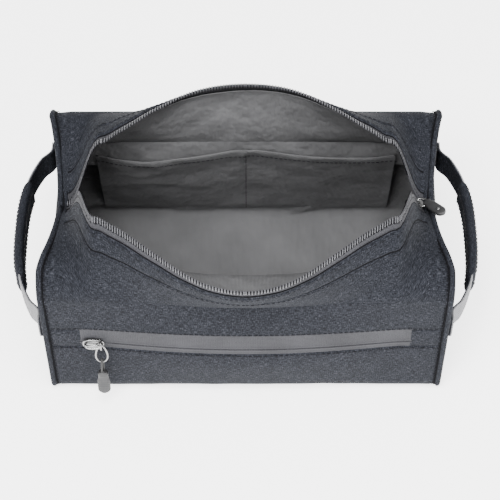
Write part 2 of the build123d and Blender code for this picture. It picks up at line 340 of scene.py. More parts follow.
def tube(name, points, radius, material, closed=False, sides=4):
    """Round cord or wire along points, as a smooth NURBS turned into a mesh."""
    curve = bpy.data.curves.new(name + "_path", "CURVE")
    curve.dimensions = "3D"
    curve.bevel_depth = radius
    curve.bevel_resolution = sides
    curve.resolution_u = 8
    curve.use_fill_caps = True
    spline = curve.splines.new("NURBS")
    spline.points.add(len(points) - 1)
    for spot, point in zip(spline.points, points):
        spot.co = (*point, 1)
    spline.use_cyclic_u = closed
    spline.order_u = 3
    spline.use_endpoint_u = not closed
    temp = bpy.data.objects.new(name + "_temp", curve)
    bpy.context.collection.objects.link(temp)
    bpy.context.view_layer.update()
    mesh = bpy.data.meshes.new_from_object(temp.evaluated_get(
        bpy.context.evaluated_depsgraph_get()))
    bpy.data.objects.remove(temp)
    return link_mesh(name, mesh, material)


def rounded_box(name, size, place, bevel, material, segments=3):
    """Bevelled block of the given size, put where the matrix says."""
    bm = bmesh.new()
    bmesh.ops.create_cube(bm, size=1.0)
    bmesh.ops.scale(bm, vec=size, verts=bm.verts)
    bmesh.ops.bevel(bm, geom=bm.edges[:] + bm.verts[:], offset=bevel, segments=segments,
                    profile=0.5, affect="EDGES")
    bm.transform(place)
    mesh = bpy.data.meshes.new(name)
    bm.to_mesh(mesh)
    bm.free()
    return link_mesh(name, mesh, material)


def ring_faces(base, rings, count):
    """Faces over a run of equal rings of points from index base on, capped at both ends."""
    faces = []
    for below in range(base, base + (rings - 1) * count, count):
        for k in range(count):
            k2 = (k + 1) % count
            faces.append([below + k, below + k2, below + count + k2, below + count + k])
    faces.append([base + k for k in reversed(range(count))])
    faces.append([base + (rings - 1) * count + k for k in range(count)])
    return faces


def skin_rings(name, rings, material, uvs=None):
    """Skin over a run of equal rings of points, capped at both ends."""
    verts = [p for ring in rings for p in ring]
    return add_mesh(name, verts, ring_faces(0, len(rings), len(rings[0])), material, uvs)


def stitches(name, points, normals, length, gap, radius):
    """Row of separate thread stitches along a line of points."""
    verts, faces = [], []
    travelled, due = 0.0, 0.0
    for a, b, n in zip(points, points[1:], normals):
        a, b, n = Vector(a), Vector(b), Vector(n).normalized()
        run = (b - a).length
        if run < 1e-7:
            continue
        along = (b - a) / run
        side = along.cross(n).normalized()
        while due < travelled + run:
            start = a + along * (due - travelled)
            base = len(verts)
            for t, lift, wide in ((0, -0.6, 0.5), (0.2, 0.35, 1), (0.5, 0.6, 1), (0.8, 0.35, 1),
                                  (1, -0.6, 0.5)):
                centre = start + along * (length * t) + n * (radius * lift)
                for k in range(6):
                    angle = pi * k / 3
                    verts.append(centre + (side * cos(angle) + n * sin(angle))
                                 * (radius * wide))
            faces += ring_faces(base, 5, 6)
            due += length + gap
        travelled += run
    return add_mesh(name, verts, faces, THREAD)


# ---- the wrap: front, bottom and back in one outline, by distance from the front fold ----
def wrap_point(x, v, inset=0.0, bulge=1.0):
    """Point on the wrap; v runs down the front from the fold line, under and up the back."""
    front, back = FRONT_Y + inset, BACK_Y - inset
    straight = fold_z - CORNER
    arc = CORNER * pi / 2
    floor = (BACK_Y - FRONT_Y) - 2 * CORNER
    r = CORNER - inset
    bow = bulge * max(0.0, 1 - (x / SWELL_HALF) ** 2) ** 1.2
    if v <= straight:
        z = fold_z - v
        return Vector((x, front - FRONT_SWELL * bow * half_wave(z / fold_z), z))
    v -= straight
    if v <= arc:
        a = v / CORNER
        return Vector((x, FRONT_Y + CORNER - r * cos(a), CORNER - r * sin(a)))
    v -= arc
    if v <= floor:
        return Vector((x, FRONT_Y + CORNER + v, inset))
    v -= floor
    if v <= arc:
        a = v / CORNER
        return Vector((x, BACK_Y - CORNER + r * sin(a), CORNER - r * cos(a)))
    v -= arc
    z = CORNER + v
    return Vector((x, back + BACK_SWELL * bow * half_wave(z / fold_z), z))


def lining_inset(z):
    """Wall surface to lining: close to the wall low down, out at the fold line near the top."""
    bow = 1.7 * MM * half_wave((z - LEDGE_LOW) / (fold_z - LEDGE_LOW))
    return LINING_GAP + (FOLD_R - LINING_GAP) * smooth((z - LEDGE_LOW) / LEDGE_TALL) + bow


WRAP_LENGTH = 2 * (fold_z - CORNER) + CORNER * pi + (BACK_Y - FRONT_Y) - 2 * CORNER
V_CORNER = fold_z - CORNER + CORNER * pi / 2


def wrinkled(x, v, amount):
    """Small soft unevenness of cloth over foam."""
    return amount * (ripple(x, v, 0.3, 24) + 0.4 * ripple(x, v, 4.0, 70))


def panel(name, node, x0, x1, v0, v1, amount=0.5 * MM):
    """Panel of the wrap whose edges turn in at its seams."""
    roll = 0.8 * MM
    us = spread(x0, x1, max(int((x1 - x0) / 0.003), 3))
    us = [x0 + roll * 0.35] + us + [x1 - roll * 0.35]
    us.sort(reverse=True)
    vs = sorted(spread(v0, v1, max(int((v1 - v0) / 0.003), 4)) + [v0 + roll * 0.5, v1 - roll * 0.5])

    def point(x, v):
        near = min([x - x0, x1 - x] + [abs(v - e) for e in (v0, v1) if 0 < e < WRAP_LENGTH])
        dip = max(0.0, 1 - near / (3 * roll)) ** 2 * roll
        edge = smooth(near / 0.012)
        return wrap_point(x, v, inset=dip + wrinkled(x, v, amount) * edge)

    piece = cloth(name, point, us, vs, CLOTH_THICK, HEATHER)
    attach(piece, "root")
    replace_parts(piece, node)


front_v = fold_z - BAND_HIGH
band_v = fold_z - BAND_LOW
panel("front_upper_cloth", "front_upper_panel", -END_X, END_X, 0.0, front_v)
panel("front_lower_cloth", "front_lower_panel", -END_X, END_X, band_v, V_CORNER)
panel("bottom_cloth", "bottom_panel", -END_X, END_X, V_CORNER, WRAP_LENGTH - V_CORNER, 0.0)
panel("back_cloth", "back_panel", -END_X, END_X, WRAP_LENGTH - V_CORNER, WRAP_LENGTH)
panel("pocket_patch_left", "pocket_end_patch_left", -END_X, -POCKET_X, front_v, band_v)
panel("pocket_patch_right", "pocket_end_patch_right", POCKET_X, END_X, front_v, band_v)


# ---- top flaps, one quarter of each lip at a time ----
ROLL_END = -FOLD_R * radians(112)          # cloth that wraps the shoulder, by distance
TUCK_ANGLE = radians(174)                  # lip and roll together turn no further than this
EASE, EASE_MIDDLE, EASE_END = 6.0, 0.045, 0.035        # degrees, then the lengths it comes in over
EASE_CORNER, EASE_WIDTH = 4.0, 0.007            # softens the corner between the two stages
QUARTERS = {"left": (-MOUTH_X, -SIDE_X), "middle_left": (-SIDE_X, 0.0),
            "middle_right": (0.0, SIDE_X), "right": (SIDE_X, MOUTH_X)}
SEAM_S, FACING_END, TAPE_END = 0.0290, 0.0425, 0.0492       # distances from the fold line


def lip_angle(face, x):
    """Slope of a lip at x: the closed slope and both stages of its fold, slightly rounded."""
    steep = smooth((MOUTH_X - abs(x)) / (MOUTH_X - SIDE_X))
    rest = smooth((SIDE_X - abs(x)) / SIDE_X)
    ease = EASE * smooth(abs(x) / EASE_MIDDLE) * smooth((SIDE_X - abs(x)) / EASE_END) \
        - EASE_CORNER * exp(-((abs(x) - SIDE_X) / EASE_WIDTH) ** 2)
    return CLOSED + radians(LIFT[face][0] * steep + LIFT[face][1] * rest + ease)


def roll_share(face, x):
    """Share of the shoulder's roll that can tuck in behind the lining beside the fold line."""
    return min(1.0, (TUCK_ANGLE - lip_angle(face, x)) * FOLD_R / -ROLL_END)


def flap_point(face, x, s, height=0.0):
    """Point on a flap at x, s along it from the fold, height above its outer surface."""
    angle = lip_angle(face, x)
    radius = FOLD_R + height
    if s < 0:
        s *= roll_share(face, x)
        turn = angle + pi / 2 - s / FOLD_R
        along, up = radius * cos(turn), radius * sin(turn)
    else:
        crown = 2.4 * MM * half_wave(s / REACH)
        soft = wrinkled(x + 3 * SIDE[face], s, 0.9 * MM) * smooth(s / 0.01)
        radius += (crown + soft) * smooth((REACH - s) / 0.012 + 0.2)
        along = s * cos(angle) - radius * sin(angle)
        up = s * sin(angle) + radius * cos(angle)
    return Vector((x, SIDE[face] * (fold_y - along), fold_z + up))


def bend_with_lip(piece):
    """Bakes the piece's placement into its mesh."""
    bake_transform(piece)


def flap_cloth_height(s):
    """Profile of the lip's cloth: a groove at the seam, its edge turned down at the zip."""
    groove = -0.9 * MM * exp(-((s - SEAM_S) / 0.0009) ** 2)
    roll = -1.1 * MM * smooth((s - FACING_END + 0.002) / 0.002) if s > FACING_END - 0.002 else 0
    return groove + roll + (0.35 * MM if s > SEAM_S else 0)


def strip(name, face, quarter, ss, height, thickness, material, last_x=MOUTH_X):
    """Band of one lip quarter over the distances ss, shaped along its lip."""
    x0, x1 = QUARTERS[quarter]
    x1 = min(x1, last_x)
    xs = spread(x0, x1, max(int((x1 - x0) / 0.002), 8))
    if SIDE[face] > 0:
        xs.reverse()
    piece = cloth(name, lambda x, s: flap_point(face, x, s, height(s)), xs, ss, thickness, material,
                  lambda x, s: (x, s + TEXTURE_SHIFT[face]))
    bend_with_lip(piece)
    return piece


CLOTH_S = (spread(ROLL_END, -0.0006, 24) + spread(0.001, SEAM_S - 0.0018, 14)
           + spread(SEAM_S - 0.0013, SEAM_S + 0.0013, 7)
           + spread(SEAM_S + 0.002, FACING_END - 0.0022, 6)
           + spread(FACING_END - 0.0017, FACING_END, 5))
LINING_S = spread(0.0, FACING_END, 26)
FLAP_LINING = -2.9 * MM              # cloth surface down to the lining, near the rim


def lip_lining_height(s, face="back"):
    """The lining hangs from the fold line itself and closes up to the cloth at the facing."""
    fade = 1 - min(s / FACING_END, 1) ** 4
    full = (FOLD_R + FLAP_LINING - 0.2 * MM) * (1 - smooth(s / 0.056)) * fade
    slack = 2.2 * MM * half_wave(s / 0.038) if face == "front" else 0
    return FLAP_LINING - full - slack


def lip_line(face, s, height, x0, x1):
    """Points and outward normals along a lip at distance s."""
    xs = spread(x0, x1, max(int(abs(x1 - x0) / 0.0012), 4))
    points = [flap_point(face, x, s, height) for x in xs]
    normals = [flap_point(face, x, s, height + MM) - p for x, p in zip(xs, points)]
    return points, normals


def teeth(name, face, quarter, x0, x1):
    """Separate coil turns, evenly spaced along the lip."""
    xs = spread(x0, x1, 400)
    line = [flap_point(face, x, REACH - 0.002) for x in xs]
    pitch, due, travelled = 1.9 * MM, 0.4 * MM, 0.0
    verts, faces = [], []
    for a, b, xa, xb in zip(line, line[1:], xs, xs[1:]):
        run = (b - a).length
        if travelled + run >= due:
            x = xa + (xb - xa) * (due - travelled) / run
            along = (b - a).normalized()
            base = len(verts)
            for s, thick in ((TAPE_END - 0.0020, 0.40), (TAPE_END - 0.0012, 0.62),
                             (REACH - 0.0008, 0.66), (REACH - 0.0001, 0.45)):
                middle = flap_point(face, x, s, -1.25 * MM)
                up = (flap_point(face, x, s, 0) - middle).normalized()
                for k in range(8):
                    angle = pi * k / 4
                    verts.append(middle + along * (cos(angle) * thick * MM)
                                 + up * (sin(angle) * thick * 1.9 * MM))
            faces += ring_faces(base, 4, 8)
            due += pitch
        travelled += run
    return add_mesh(name, verts, faces, TEETH)


for face in ("front", "back"):
    for quarter, (x0, x1) in QUARTERS.items():
        node_place = "middle" if "middle" in quarter else quarter
        flap = strip(f"{face}_flap_{quarter}_cloth", face, quarter, CLOTH_S, flap_cloth_height,
                     CLOTH_THICK, HEATHER)
        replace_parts(flap, f"{face}_flap_{node_place}")
        strip(f"{face}_flap_{quarter}_lining", face, quarter, LINING_S,
              lambda s: lip_lining_height(s, face), LINING_THICK, LINING)
        tape = strip(f"{face}_tape_{quarter}", face, quarter, spread(FACING_END - 0.002, TAPE_END, 6),
                     lambda s: -1.3 * MM, 0.8 * MM, TAPE)
        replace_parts(tape, f"{face}_zip_tape_{node_place}")
        # The three dark strips below are painted shade: in the facing fold, behind the teeth and in the seam
        # groove.
        edge = strip(f"{face}_facing_fold_{quarter}", face, quarter,
                     spread(FACING_END - 0.0006, FACING_END + 0.0006, 4),
                     lambda s: -0.75 * MM, 0.7 * MM, GROOVE_SHADE)
        last = min(x1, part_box(f"{face}_zip_coil_right")[1][0])
        strip(f"{face}_coil_gap_shade_{quarter}", face, quarter,
              spread(TAPE_END - 0.0019, REACH - 0.0007, 3), lambda s: -0.75 * MM, 1.0 * MM, GROOVE_SHADE,
              last)
        strip(f"{face}_seam_groove_{quarter}", face, quarter,
              spread(SEAM_S - 0.0006, SEAM_S + 0.0006, 3), lambda s: -0.35 * MM, 0.5 * MM, GROOVE_SHADE)
        coil = teeth(f"{face}_teeth_{quarter}", face, quarter, x0, last)
        bend_with_lip(coil)
        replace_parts(coil, f"{face}_zip_coil_{node_place}")
        for kind, s, height in (("seam", SEAM_S - 0.0024, 0.05 * MM),
                                ("facing", FACING_END - 0.0030, 0.32 * MM),
                                ("tape", TAPE_END - 0.0026, -1.25 * MM)):
            points, normals = lip_line(face, s, height, x0, x1)
            row = stitches(f"{face}_{kind}_stitches_{quarter}", points, normals, *SEWN)
            bend_with_lip(row)


def shoulder_facing():
    """Fixed cloth under the front shoulder, where the lip's shortened roll ends when zipped."""
    xs = spread(-SIDE_X, SIDE_X, 85)
    covered = radians(66)

    def point(x, t):
        turn = pi - t * max(lip_angle("front", x) - covered, radians(4))
        r = FOLD_R - 0.3 * MM - 0.4 * MM * smooth(t * 3)
        return (x, -fold_y + r * cos(turn), fold_z + r * sin(turn))

    piece = cloth("front_shoulder_facing", point, xs, spread(0, 1, 20), 0.8 * MM, HEATHER,
                  lambda x, t: (x, 0.01 * t))
    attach(piece, "root")


shoulder_facing()


# ---- ends: panel, binding, fixed top end ----
def roof(y, inset=0.0):
    """Height of the closed top at y: rounded shoulders, then a dip to the middle."""
    r = FOLD_R - inset
    crest = fold_y + r * sin(CLOSED)
    if abs(y) > crest:
        return fold_z + sqrt(max(r ** 2 - (abs(y) - fold_y) ** 2, 0))
    return fold_z + r * cos(CLOSED) + (crest - abs(y)) * tan(CLOSED)


def lean(y, z):
    """How far the top of each end is drawn in towards the mouth."""
    drawn_in, half, low, tall = 8.0 * MM, 0.062, 0.055, 0.050
    return drawn_in * max(1 - (y / half) ** 2, 0) * smooth((z - low) / tall)


def end_sheet(name, node, side, x, inset, thickness, material, bulge):
    """Upright sheet that closes one end of the bag, inside the line of its binding."""
    full = BACK_Y - inset
    rows = spread(0, 1, 44)
    cols = [sin(pi / 2 * a) for a in spread(-1, 1, 61)]
    if side < 0:
        cols.reverse()

    def place(a, t):
        y = a * full
        over = max(abs(y) - (full - CORNER), 0)
        low = inset + CORNER - sqrt(max(CORNER ** 2 - over ** 2, 0))
        return y, low + (roof(y, inset) - low) * t

    def point(a, t):
        y, z = place(a, t)
        rise = half_wave(t) ** 0.7 * (1 - a ** 4)
        crease = 1.3 * MM * ripple(y, z, side * 3.0 + x, 26) * (1 - a ** 4)
        return (side * (x - lean(y, z) + bulge * rise + crease), y, z)

    piece = cloth(name, point, cols, rows, thickness, material,
                  lambda a, t: (place(a, t)[0] + 0.5, place(a, t)[1]))
    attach(piece, "root")
    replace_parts(piece, node)


def end_path(side, x, inset):
    """Loop around the end: valley, front slope, shoulder, front edge, bottom and back again."""
    r = FOLD_R - inset
    crest = fold_y + r * sin(CLOSED)
    loop = [(-y, roof(y, inset)) for y in spread(0, crest, 8)[:-1]]
    for k in range(12):
        turn = radians(90) + CLOSED + (pi / 2 - CLOSED) * k / 11
        loop.append((-fold_y + r * cos(turn), fold_z + r * sin(turn)))
    loop += [(FRONT_Y + inset, z) for z in spread(fold_z, CORNER, 16)[1:]]
    for k in range(1, 6):
        angle = pi / 2 * k / 6
        loop.append((FRONT_Y + CORNER - (CORNER - inset) * cos(angle),
                     CORNER - (CORNER - inset) * sin(angle)))
    loop += [(y, inset) for y in spread(FRONT_Y + CORNER, 0, 10)]
    loop += [(-y, z) for y, z in reversed(loop[:-1])]
    return [Vector((side * (x - lean(y, z)), y, z)) for y, z in loop]


def binding(side, name):
    """Fabric folded over the end seam: a soft ridge with a stitched inner edge."""
    path = end_path(side, BINDING[1][0] - 1.9 * MM, 0.8 * MM)
    rings, uvs = [], []
    travelled = 0.0
    for k, p in enumerate(path):
        a, b = path[max(k - 1, 0)], path[min(k + 1, len(path) - 1)]
        along = (b - a).normalized()
        travelled += (p - a).length if k else 0
        out = Vector((side, 0, 0))
        away = along.cross(out).normalized()
        ring = []
        for m in range(12):
            angle = 2 * pi * m / 12
            swell = 1 + 0.06 * ripple(travelled, m * 0.01, side, 60)
            q = p + out * (cos(angle) * 1.9 * MM * swell) \
                + away * (sin(angle) * 2.1 * MM * swell)
            q.z = max(q.z, 0.0)
            ring.append(q)
            uvs.append((travelled, m * 0.0011))
        rings.append(ring)
    piece = skin_rings(f"{name}_cloth", rings, HEATHER, uvs)
    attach(piece, "root")
    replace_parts(piece, name)
    inner = end_path(side, END_X - 1.3 * MM, 0.15 * MM)
    middle_z = 0.055
    normals = [Vector((0, p.y, p.z - middle_z)).normalized() for p in inner]
    row = stitches(f"{name}_stitches", inner, normals, 2.4 * MM, 1.0 * MM, 0.24 * MM)
    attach(row, "root")
    # Dark tube along the end seam: painted shade in the seam's groove.
    groove = tube(f"{name}_groove", end_path(side, END_X - 0.1 * MM, 0.2 * MM), 0.55 * MM, GROOVE_SHADE,
                  sides=2)
    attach(groove, "root")


def top_end(side, name):
    """Fixed cloth and lining between the zip's end and the end panel."""
    for face in ("front", "back"):
        xs = spread(MOUTH_X - 0.5 * MM, END_X + 0.5 * MM, 9)
        if (side < 0) != (SIDE[face] > 0):
            xs.reverse()

        def sheet(label, ss, height, thickness, material):
            def point(x, s):
                p = flap_point(face, side * MOUTH_X, s, height(s))
                share = (x - MOUTH_X) / (END_X - MOUTH_X)
                return (side * (x - lean(p.y, p.z) * share), p.y, p.z - 1.5 * MM * share)

            piece = cloth(f"{name}_{face}_{label}", point, xs, ss, thickness, material,
                          lambda x, s: (x, s + TEXTURE_SHIFT["front"]))
            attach(piece, "root")
            return piece

        ss = spread(ROLL_END, 0, 24) + spread(0.002, REACH + 0.0005, 24)
        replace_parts(sheet("cloth", ss, lambda s: flap_cloth_height(min(s, SEAM_S + 0.004)),
                          CLOTH_THICK, HEATHER), name)
        sheet("lining", spread(0.0, REACH, 20), lip_lining_height, LINING_THICK, LINING)


for side, name in ((-1, "left"), (1, "right")):
    end_sheet(f"end_panel_{name}_cloth", f"end_panel_{name}", side, END_X + 1.6 * MM, 1.2 * MM,
              1.2 * MM, HEATHER, 1.0 * MM)
    end_sheet(f"end_lining_{name}_cloth", f"end_lining_{name}", side, END_X - 4.0 * MM, 4.5 * MM,
              LINING_THICK, LINING, -1.5 * MM)
    binding(side, f"end_binding_{name}")
    top_end(side, f"top_end_{name}")


# ---- lining tub and slip pocket ----
LINING_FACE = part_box("bottom_lining")[1][2] + 0.4 * MM      # clear of the board and padding


def lining_sheet(name, node, v0, v1, swell):
    """Loose creased lining over one stretch of the wrap."""
    us = spread(END_X - 3.5 * MM, -END_X + 3.5 * MM, 150)
    vs = spread(v0, v1, max(int((v1 - v0) / 0.002), 8))

    def point(x, v):
        rise = half_wave((v - v0) / (v1 - v0))
        folds = (5.0 * MM * ripple(x, v * 0.5, v0, 13) + 1.4 * MM * ripple(x * 0.7, v, v1, 48)
                 + 9.0 * MM * crease(x, v + v0)) * rise
        z = wrap_point(x, v).z
        inset = max(lining_inset(z) + swell * rise + folds, LINING_FACE)
        return wrap_point(x, v, inset=inset, bulge=0.3)

    piece = cloth(name, point, us, vs, LINING_THICK, LINING)
    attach(piece, "root")
    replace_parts(piece, node)


lining_sheet("front_lining_cloth", "front_lining", 0.0, V_CORNER - 0.002, 1.2 * MM)
lining_sheet("bottom_lining_cloth", "bottom_lining", V_CORNER - 0.003,
             WRAP_LENGTH - V_CORNER + 0.003, 0.6 * MM)
lining_sheet("back_lining_cloth", "back_lining", WRAP_LENGTH - V_CORNER + 0.002,
             WRAP_LENGTH, 1.2 * MM)


def slip_point(x, z, lift=0.0):
    """The slip pocket's face: stitched at foot, ends and middle, gaping between."""
    half = SLIP[1][0]
    share = (z - SLIP[0][2]) / (HEM[1][2] - SLIP[0][2])
    t = abs(x) / half
    gape = half_wave(t) ** 0.8 * share ** 1.5
    end = smooth((half - abs(x)) / 0.012)
    folds = (2.6 * MM * ripple(x, z * 0.5, 7.0, 16) + 5.0 * MM * crease(x, z)) * share
    rise = (HEM_RISE * (1 - t ** 1.8) - 4.0 * MM * gape) * share ** 2
    base = 6.6 * MM + (FOLD_R - 1.0 * MM) * max(share, 0) ** 0.8
    return Vector((x, BACK_Y - base - 5.0 * MM * gape * end - folds - lift, z + rise))


HEM_RISE = fold_z - HEM[1][2]        # lifts the middle of the hem to the fold line's height
xs = spread(-SLIP[1][0], SLIP[1][0], 101)
hem_low = HEM[0][2]
face_sheet = cloth("slip_pocket_cloth", lambda x, z: slip_point(x, z), xs,
                   spread(SLIP[0][2], hem_low + 0.001, 28), LINING_THICK, LINING)
hem = cloth("slip_pocket_hem_cloth",
            lambda x, z: slip_point(x, z, 0.5 * MM * half_wave(
                (z - hem_low) / (HEM[1][2] - hem_low)) ** 0.4),
            xs, spread(hem_low, HEM[1][2], 9), 1.3 * MM, LINING)
seam_points = [slip_point(0.0, z, 0.1 * MM) for z in spread(SLIP[0][2], HEM[1][2] - 0.001, 30)]
middle_seam = stitches("slip_pocket_middle_stitches", seam_points, [Vector((0, -1, 0))] * 30,
                       *LINING_SEWN)
hem_points = [slip_point(x, hem_low + 0.0012, 0.45 * MM) for x in xs]
hem_row = stitches("slip_pocket_hem_stitches", hem_points, [Vector((0, -1, 0))] * 101,
                   *LINING_SEWN)
for piece, node in ((face_sheet, "slip_pocket"), (hem, "slip_pocket_hem"),
                    (middle_seam, "slip_pocket_seam"), (hem_row, None)):
    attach(piece, "root")
    if node:
        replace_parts(piece, node)


# ---- front pocket's zip ----
zip_line = (COIL_LOW + COIL_HIGH) / 2


def pocket_tape(name, node, z0, z1):
    """Tape with a rolled inner edge at the closed zip line."""
    us = spread(POCKET_X + 1 * MM, -POCKET_X - 1 * MM, 80)
    vs = sorted(spread(fold_z - z1, fold_z - z0, 9) + [fold_z - zip_line + k * 0.25 * MM
                for k in (-3, -2, -1, 1, 2, 3) if z0 < zip_line - k * 0.25 * MM < z1])

    def point(x, v):
        near = abs(fold_z - v - zip_line)
        ridge = 0.55 * MM * exp(-((near - 1.0 * MM) / 0.0006) ** 2)
        dip = 0.9 * MM * exp(-(near / 0.0004) ** 2)
        return wrap_point(x, v, inset=0.75 * MM - ridge + dip)

    piece = cloth(name, point, us, vs, 0.6 * MM, TAPE, lambda u, v: (u, v + 0.05))
    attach(piece, "root")
    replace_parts(piece, node)


pocket_tape("pocket_tape_upper_cloth", "pocket_tape_upper", zip_line, BAND_HIGH + 0.6 * MM)
pocket_tape("pocket_tape_lower_cloth", "pocket_tape_lower", BAND_LOW - 0.6 * MM, zip_line)
xs = spread(-POCKET_X + 2 * MM, POCKET_X - 2 * MM, 80)
coil = cloth("pocket_coil_strip", lambda x, z: wrap_point(x, fold_z - z, inset=1.25 * MM), xs,
             spread(COIL_LOW + 0.2 * MM, COIL_HIGH - 0.2 * MM, 4), 0.8 * MM, TEETH)
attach(coil, "root")
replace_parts(coil, "pocket_coil")
for z, name in ((BAND_HIGH + 1.7 * MM, "upper"), (BAND_LOW - 1.7 * MM, "lower")):
    points = [wrap_point(x, fold_z - z, inset=0.05 * MM) for x in spread(-END_X + 2 * MM,
                                                                END_X - 2 * MM, 160)]
    row = stitches(f"pocket_{name}_stitches", points, [Vector((0, -1, 0))] * 160, 2.4 * MM,
                   1.0 * MM, 0.22 * MM)
    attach(row, "root")


# ---- main slider and its pull ----
moved = Matrix.Translation


def turned(angle, axis):
    return Matrix.Rotation(angle, 4, axis)


def centre(node):
    low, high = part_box(node)
    return Vector([(a + b) / 2 for a, b in zip(low, high)])


def wire_ring(name, points, thickness, body, node):
    """Closed wire ring that rides on a pull's own body."""
    piece = tube(name, points, thickness / 2, METAL, closed=True)
    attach(piece, body)
    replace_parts(piece, node)


slider_x = centre("main_slider").x
eye_z = joints["main_pull_swing"]["pos_m"][2]
zip_z = eye_z - 5.2 * MM


def slider_plate(name, width, depth, thick, place, nose=0.35):
    """Slider plate: shield outline, narrower at one end, with softened edges."""
    outline = []
    for k in range(40):
        angle = 2 * pi * k / 40
        c, s = cos(angle), sin(angle)
        x = width / 2 * copysign(abs(c) ** 0.62, c)
        y = depth / 2 * copysign(abs(s) ** 0.62, s)
        outline.append((x, y * (1 - nose * 0.5 * smooth((x + width * 0.1) / width))))
    rings = []
    for h, shrink in ((-0.5, 0.90), (-0.42, 0.97), (-0.2, 1.0), (0.2, 1.0), (0.42, 0.97),
                      (0.5, 0.90)):
        rings.append([place @ Vector((x * shrink, y * shrink, h * thick)) for x, y in outline])
    return skin_rings(name, rings, METAL)


MAIN_PLATE = (12 * MM, 9 * MM, 1.6 * MM)
top = slider_plate("main_slider_top", *MAIN_PLATE,
                   moved((slider_x, 0, zip_z + 3.0 * MM)))
under = slider_plate("main_slider_under", *MAIN_PLATE,
                     moved((slider_x, 0, zip_z - 3.6 * MM)))
neck = rounded_box("main_slider_neck", (2.6 * MM, 2 * MM, 6 * MM),
                   moved((slider_x + 3.8 * MM, 0, zip_z - 0.3 * MM)), 0.5 * MM, METAL)
arch_points = [(slider_x + dx * MM, 0, zip_z + dz * MM) for dx, dz in
               ((-3.0, 3.0), (-3.0, 5.4), (-2.7, 7.2), (-1.2, 7.5), (1.2, 7.5), (2.7, 7.2),
                (3.0, 5.4), (3.0, 3.0))]
arch = tube("main_slider_arch", arch_points, 0.75 * MM, METAL)
for rail in (-1, 1):
    flange = rounded_box(f"main_slider_flange_{rail + 1}", (9 * MM, 0.9 * MM, 1.5 * MM),
                         moved((slider_x, rail * 3.6 * MM, zip_z + 1.9 * MM)),
                         0.3 * MM, METAL)
    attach(flange, "main_slider")
for piece in (top, under, neck, arch):
    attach(piece, "main_slider")
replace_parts(top, "main_slider")

LOOP_TURN, TAB_TURN = radians(-20), radians(-50)
PULL_RISE = radians(20)
at_eye = moved((slider_x, 0, eye_z)) @ turned(LOOP_TURN, "Z") @ turned(-PULL_RISE, "Y")


def loop_shape(length, near, far):
    """Pear-shaped ring in XY: narrow at the eye, wide at the far end."""
    points = []
    for k in range(20):
        angle = 2 * pi * k / 20
        t = (1 - cos(angle)) / 2
        half = near / 2 + (far - near) / 2 * t
        points.append(Vector((length * t, sin(angle) * half, 0)))
    return points


wire_ring("main_pull_ring", [at_eye @ p for p in loop_shape(9 * MM, 7.2 * MM, 7.2 * MM)],
          1.25 * MM, "main_pull", "main_pull_loop")


def rubber_tab(name, place, length, width, thick, material, ribs=0):
    """Moulded tab along +X: waisted neck, rounded end and grip ribs."""
    rings, steps = [], 44
    for k in range(steps + 1):
        t = k / steps
        x = length * (1 - cos(pi * t)) / 2
        along = x / length
        tip = sqrt(max(1 - max(0.0, (along - 0.80) / 0.2) ** 2, 0.0004))
        start = sqrt(max(1 - max(0.0, (0.12 - along) / 0.12) ** 2, 0.05))
        waist = 1 - 0.22 * exp(-((along - 0.16) / 0.12) ** 2)
        w = width / 2 * tip * start * waist
        h = thick / 2 * (0.72 + 0.28 * min(tip, start))
        if ribs and 0.3 < along < 0.72:
            h *= 1 + 0.10 * sin((along - 0.3) / 0.42 * 2 * pi * ribs)
        ring = []
        for m in range(20):
            angle = 2 * pi * m / 20
            c, s = cos(angle), sin(angle)
            ring.append(place @ Vector((x, w * copysign(abs(c) ** 0.75, c),
                                        h * copysign(abs(s) ** 0.6, s))))
        rings.append(ring)
    return skin_rings(name, rings, material)


at_tab = at_eye @ moved((9 * MM, 0, 0)) @ turned(TAB_TURN - LOOP_TURN, "Z") \
    @ moved((-2.2 * MM, 0, 0))
tab = rubber_tab("main_pull_rubber", at_tab, 18.2 * MM, 7.2 * MM, 3.2 * MM, RUBBER)
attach(tab, "main_pull")
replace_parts(tab, "main_pull_tab")
rivet_rings = []
for h, r in ((-1.9, 0.3), (-1.85, 1.0), (-1.6, 1.3), (1.6, 1.3), (1.85, 1.0), (1.95, 0.3)):
    rivet_rings.append([at_tab @ Vector((12.8 * MM + r * MM * cos(a), r * MM * sin(a),
                        h * MM)) for a in [pi * k / 8 for k in range(16)]])
rivet = skin_rings("main_pull_rivet_head", rivet_rings, METAL)
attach(rivet, "main_pull")
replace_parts(rivet, "main_pull_rivet")

# ---- pocket slider and its hanging pull ----
eye = joints["pocket_loop_swing"]["pos_m"]
pocket_x = eye[0] - 5 * MM
face_y = FRONT_Y - 0.95 * MM
facing = moved((pocket_x, face_y, zip_line)) @ turned(pi / 2, "X")
plate = slider_plate("pocket_slider_plate", 14 * MM, 9 * MM, 1.3 * MM, facing, 0.5)
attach(plate, "pocket_slider")
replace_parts(plate, "pocket_slider")
for rail in (-1, 1):
    flange = rounded_box(f"pocket_slider_flange_{rail + 1}", (10 * MM, 1.5 * MM, 0.9 * MM),
                         moved((pocket_x, FRONT_Y - 0.2 * MM,
                                             zip_line + rail * 3.4 * MM)), 0.3 * MM, METAL)
    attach(flange, "pocket_slider")
oval = [(pocket_x + dx * MM, face_y - dy * MM, zip_line + dz * MM) for dx, dy, dz in
        ((-5.2, 0.3, 0.6), (-5.4, 1.8, 0.9), (-3.6, 2.9, 1.6), (0.0, 3.1, 2.0), (3.4, 2.9, 1.8),
         (5.6, 2.0, 1.0), (5.6, 0.3, 0.4))]
low_oval = [(x, y, 2 * zip_line + 0.4 * MM - z) for x, y, z in oval]
for name, points in (("upper", oval), ("lower", low_oval)):
    bar = tube(f"pocket_slider_bar_{name}", points, 0.72 * MM, METAL)
    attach(bar, "pocket_slider")
ring = [(eye[0], FRONT_Y + dy * MM, eye[2] + dz * MM) for dy, dz in
        ((-1.2, 2.4), (-3.4, 2.6), (-4.7, 1.4), (-4.8, -0.8), (-4.6, -3.0), (-3.4, -3.8),
         (-1.2, -3.6))]
